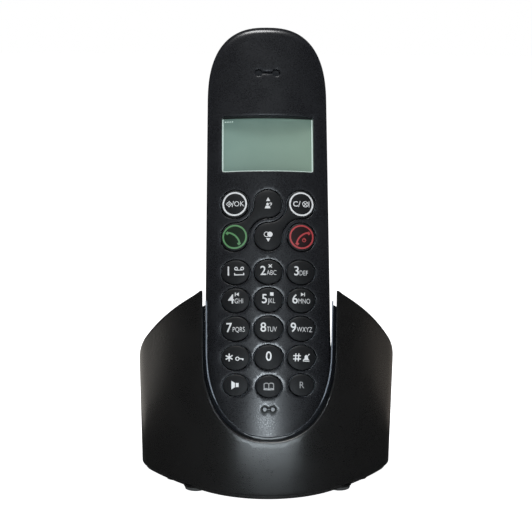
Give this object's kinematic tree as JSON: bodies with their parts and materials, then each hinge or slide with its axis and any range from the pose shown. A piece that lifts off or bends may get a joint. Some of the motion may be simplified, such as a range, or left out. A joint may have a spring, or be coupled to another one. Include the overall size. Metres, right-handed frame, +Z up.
{
  "type": "cordless phone with charging base",
  "caption": "Cordless telephone handset with keypad and display, leaning in a winged desk charging base that it lifts out of along its own length.",
  "frame": {"origin": "on the surface it stands on, under the middle of the base", "axes": "+Z up, -Y towards the user (keypad side), +X to the user's right"},
  "size_m": [0.0986, 0.087, 0.1709],
  "materials": {
    "case_black": "fine textured satin black moulding",
    "liner_black": "satin black moulding",
    "key_black": "satin black key caps with printed legends",
    "rubber_black": "matt",
    "silicone_grey": "matt silicone",
    "lens_clear": "clear polished window",
    "lcd_grey_green": "reflective grey-green liquid crystal panel",
    "diffuser_white": "white light guide",
    "board_green": "solder mask",
    "steel_bright": "bright zinc plate",
    "contact_nickel": "nickel plate",
    "brass_aerial": "punched sheet",
    "socket_black": "moulded socket",
    "speaker_grey": "dished cone",
    "cell_wrap": "shrink sleeve"
  },
  "bodies": {
    "base": {"base_shell": "case_black", "cradle_liner": "liner_black", "base_tray": "case_black", "rubber_foot_front_left": "rubber_black", "rubber_foot_front_right": "rubber_black", "rubber_foot_rear_left": "rubber_black", "rubber_foot_rear_right": "rubber_black", "base_screw_front_left": "steel_bright", "base_screw_front_right": "steel_bright", "base_screw_rear_left": "steel_bright", "base_screw_rear_right": "steel_bright", "base_circuit_board": "board_green", "base_antenna": "brass_aerial", "line_jack": "socket_black", "power_jack": "socket_black", "page_switch": "steel_bright"},
    "handset": {"handset_front_case": "case_black", "handset_back_case": "case_black", "display_lens": "lens_clear", "display_panel": "lcd_grey_green", "display_backlight": "diffuser_white", "handset_circuit_board": "board_green", "key_mat": "silicone_grey", "earpiece_speaker": "speaker_grey", "loudspeaker": "speaker_grey", "microphone": "steel_bright", "handset_antenna": "brass_aerial", "battery_contact_plate": "contact_nickel", "battery_cell_left": "cell_wrap", "battery_spring_left": "contact_nickel", "handset_charge_strip_left": "contact_nickel", "handset_screw_left": "steel_bright", "battery_cell_right": "cell_wrap", "battery_spring_right": "contact_nickel", "handset_charge_strip_right": "contact_nickel", "handset_screw_right": "steel_bright"},
    "battery_door": {"battery_door": "case_black"},
    "page_button": {"page_button": "key_black"},
    "charge_contact_left": {"charge_contact_left": "contact_nickel"},
    "charge_contact_right": {"charge_contact_right": "contact_nickel"},
    "key_ok": {"key_ok": "key_black"},
    "key_end_call": {"key_end_call": "key_black"},
    "key_up_and_talk": {"key_up_and_talk": "key_black"},
    "key_clear_and_down": {"key_clear_and_down": "key_black"},
    "key_speaker": {"key_speaker": "key_black"},
    "key_phonebook": {"key_phonebook": "key_black"},
    "key_recall": {"key_recall": "key_black"},
    "key_1": {"key_1": "key_black"},
    "key_2": {"key_2": "key_black"},
    "key_3": {"key_3": "key_black"},
    "key_4": {"key_4": "key_black"},
    "key_5": {"key_5": "key_black"},
    "key_6": {"key_6": "key_black"},
    "key_7": {"key_7": "key_black"},
    "key_8": {"key_8": "key_black"},
    "key_9": {"key_9": "key_black"},
    "key_star": {"key_star": "key_black"},
    "key_0": {"key_0": "key_black"},
    "key_hash": {"key_hash": "key_black"}
  },
  "joints": [
    {"name": "handset_lift", "type": "slide", "parent": "base", "child": "handset", "axis": [0, 0.342, 0.9397], "range_m": [0, 0.095]},
    {"name": "battery_door_off", "type": "slide", "parent": "handset", "child": "battery_door", "axis": [0, 0.9397, -0.342], "range_m": [0, 0.02]},
    {"name": "page_button_press", "type": "slide", "parent": "base", "child": "page_button", "axis": [0, -1, 0], "range_m": [0, 0.0008], "stiffness_N_per_m": 900, "springref_m": -0.0002},
    {"name": "charge_contact_left_press", "type": "slide", "parent": "base", "child": "charge_contact_left", "axis": [0, 0.9397, -0.342], "range_m": [0, 0.0012], "stiffness_N_per_m": 500, "springref_m": -0.0004},
    {"name": "charge_contact_right_press", "type": "slide", "parent": "base", "child": "charge_contact_right", "axis": [0, 0.9397, -0.342], "range_m": [0, 0.0012], "stiffness_N_per_m": 500, "springref_m": -0.0004},
    {"name": "key_ok_press", "type": "slide", "parent": "handset", "child": "key_ok", "axis": [0, 0.9397, -0.342], "range_m": [0, 0.0008], "stiffness_N_per_m": 900, "springref_m": -0.0002},
    {"name": "key_end_call_press", "type": "slide", "parent": "handset", "child": "key_end_call", "axis": [0, 0.9397, -0.342], "range_m": [0, 0.0008], "stiffness_N_per_m": 900, "springref_m": -0.0002},
    {"name": "key_up_and_talk_press", "type": "slide", "parent": "handset", "child": "key_up_and_talk", "axis": [0, 0.9397, -0.342], "range_m": [0, 0.0008], "stiffness_N_per_m": 900, "springref_m": -0.0002},
    {"name": "key_clear_and_down_press", "type": "slide", "parent": "handset", "child": "key_clear_and_down", "axis": [0, 0.9397, -0.342], "range_m": [0, 0.0008], "stiffness_N_per_m": 900, "springref_m": -0.0002},
    {"name": "key_speaker_press", "type": "slide", "parent": "handset", "child": "key_speaker", "axis": [0, 0.9397, -0.342], "range_m": [0, 0.0008], "stiffness_N_per_m": 900, "springref_m": -0.0002},
    {"name": "key_phonebook_press", "type": "slide", "parent": "handset", "child": "key_phonebook", "axis": [0, 0.9397, -0.342], "range_m": [0, 0.0008], "stiffness_N_per_m": 900, "springref_m": -0.0002},
    {"name": "key_recall_press", "type": "slide", "parent": "handset", "child": "key_recall", "axis": [0, 0.9397, -0.342], "range_m": [0, 0.0008], "stiffness_N_per_m": 900, "springref_m": -0.0002},
    {"name": "key_1_press", "type": "slide", "parent": "handset", "child": "key_1", "axis": [0, 0.9397, -0.342], "range_m": [0, 0.0008], "stiffness_N_per_m": 900, "springref_m": -0.0002},
    {"name": "key_2_press", "type": "slide", "parent": "handset", "child": "key_2", "axis": [0, 0.9397, -0.342], "range_m": [0, 0.0008], "stiffness_N_per_m": 900, "springref_m": -0.0002},
    {"name": "key_3_press", "type": "slide", "parent": "handset", "child": "key_3", "axis": [0, 0.9397, -0.342], "range_m": [0, 0.0008], "stiffness_N_per_m": 900, "springref_m": -0.0002},
    {"name": "key_4_press", "type": "slide", "parent": "handset", "child": "key_4", "axis": [0, 0.9397, -0.342], "range_m": [0, 0.0008], "stiffness_N_per_m": 900, "springref_m": -0.0002},
    {"name": "key_5_press", "type": "slide", "parent": "handset", "child": "key_5", "axis": [0, 0.9397, -0.342], "range_m": [0, 0.0008], "stiffness_N_per_m": 900, "springref_m": -0.0002},
    {"name": "key_6_press", "type": "slide", "parent": "handset", "child": "key_6", "axis": [0, 0.9397, -0.342], "range_m": [0, 0.0008], "stiffness_N_per_m": 900, "springref_m": -0.0002},
    {"name": "key_7_press", "type": "slide", "parent": "handset", "child": "key_7", "axis": [0, 0.9397, -0.342], "range_m": [0, 0.0008], "stiffness_N_per_m": 900, "springref_m": -0.0002},
    {"name": "key_8_press", "type": "slide", "parent": "handset", "child": "key_8", "axis": [0, 0.9397, -0.342], "range_m": [0, 0.0008], "stiffness_N_per_m": 900, "springref_m": -0.0002},
    {"name": "key_9_press", "type": "slide", "parent": "handset", "child": "key_9", "axis": [0, 0.9397, -0.342], "range_m": [0, 0.0008], "stiffness_N_per_m": 900, "springref_m": -0.0002},
    {"name": "key_star_press", "type": "slide", "parent": "handset", "child": "key_star", "axis": [0, 0.9397, -0.342], "range_m": [0, 0.0008], "stiffness_N_per_m": 900, "springref_m": -0.0002},
    {"name": "key_0_press", "type": "slide", "parent": "handset", "child": "key_0", "axis": [0, 0.9397, -0.342], "range_m": [0, 0.0008], "stiffness_N_per_m": 900, "springref_m": -0.0002},
    {"name": "key_hash_press", "type": "slide", "parent": "handset", "child": "key_hash", "axis": [0, 0.9397, -0.342], "range_m": [0, 0.0008], "stiffness_N_per_m": 900, "springref_m": -0.0002}
  ]
}
